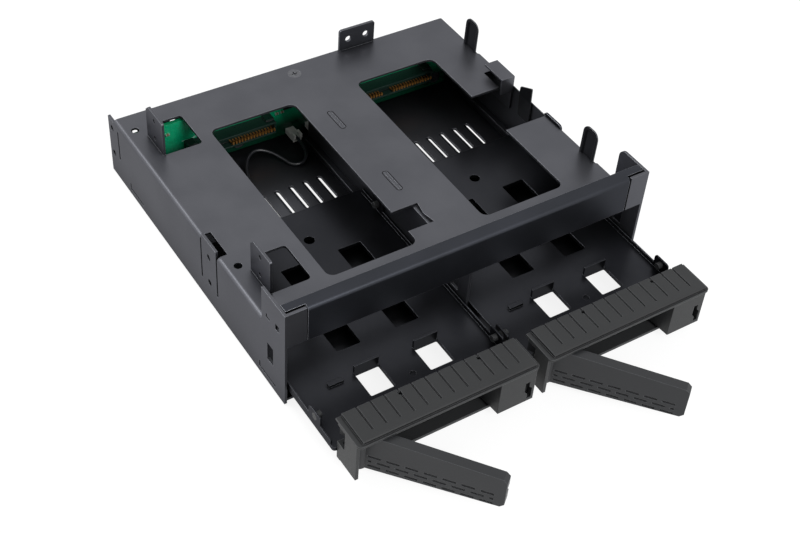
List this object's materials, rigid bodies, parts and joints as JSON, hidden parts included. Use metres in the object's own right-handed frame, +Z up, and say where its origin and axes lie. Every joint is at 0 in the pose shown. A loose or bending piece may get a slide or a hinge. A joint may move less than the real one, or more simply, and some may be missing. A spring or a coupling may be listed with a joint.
{
  "type": "hot swap drive cage",
  "caption": "Bent sheet cage for one half-height bay with sliding drive trays, swing-out ejector levers, a backplane board and a slim drive deck.",
  "frame": {"origin": "on the underside of the floor, midway between the walls and midway along the cage", "axes": "+X across the bay to the right, +Y to the rear, +Z up; the trays slide out along -Y"},
  "size_m": [0.1464, 0.2083, 0.0413],
  "materials": {
    "cage_sheet": "satin",
    "spring_sheet": "satin",
    "screw_steel": "satin",
    "black_plastic": "satin",
    "lever_plastic": "satin",
    "tray_sheet": "satin",
    "board_green": "gloss",
    "contact_metal": "gloss",
    "header_plastic": "matte",
    "wire_jacket": "matte"
  },
  "bodies": {
    "cage": {"outer_shell": "cage_sheet", "floor_plate": "cage_sheet", "rear_panel": "cage_sheet", "center_divider": "cage_sheet", "guide_rail_left": "cage_sheet", "divider_rail_left": "cage_sheet", "divider_rail_right": "cage_sheet", "guide_rail_right": "cage_sheet", "front_bar": "cage_sheet", "lock_bracket": "cage_sheet", "lock_spring": "spring_sheet", "edge_spring_rear": "spring_sheet", "edge_spring_front": "spring_sheet", "deck_screw": "screw_steel", "backplane_screws": "screw_steel", "backplane_standoffs": "screw_steel", "drive_connector_left": "black_plastic", "drive_connector_right": "black_plastic", "host_data_ports": "black_plastic", "host_power_ports": "black_plastic", "backplane_board": "board_green", "connector_pins_left": "contact_metal", "connector_pins_right": "contact_metal", "wire_header_left": "header_plastic", "wire_header_middle": "header_plastic", "wire_header_right": "header_plastic", "jumper_wire": "wire_jacket"},
    "tray_left": {"tray_left": "tray_sheet", "bezel_left": "black_plastic", "drive_pegs_left": "black_plastic", "lever_pin_left": "screw_steel"},
    "tray_right": {"tray_right": "tray_sheet", "bezel_right": "black_plastic", "drive_pegs_right": "black_plastic", "lever_pin_right": "screw_steel"},
    "lever_left": {"lever_left": "lever_plastic"},
    "lever_right": {"lever_right": "lever_plastic"}
  },
  "joints": [
    {"name": "tray_slide_left", "type": "slide", "parent": "cage", "child": "tray_left", "axis": [0, -1, 0], "range_m": [-0.0412, 0.035]},
    {"name": "lever_hinge_left", "type": "hinge", "parent": "tray_left", "child": "lever_left", "pos_m": [-0.06552, -0.10215, 0.0116], "axis": [0, 0, -1], "range_deg": [-51, 19]},
    {"name": "tray_slide_right", "type": "slide", "parent": "cage", "child": "tray_right", "axis": [0, -1, 0], "range_m": [-0.0412, 0.035]},
    {"name": "lever_hinge_right", "type": "hinge", "parent": "tray_right", "child": "lever_right", "pos_m": [0.007, -0.10215, 0.0116], "axis": [0, 0, -1], "range_deg": [-51, 19]}
  ]
}
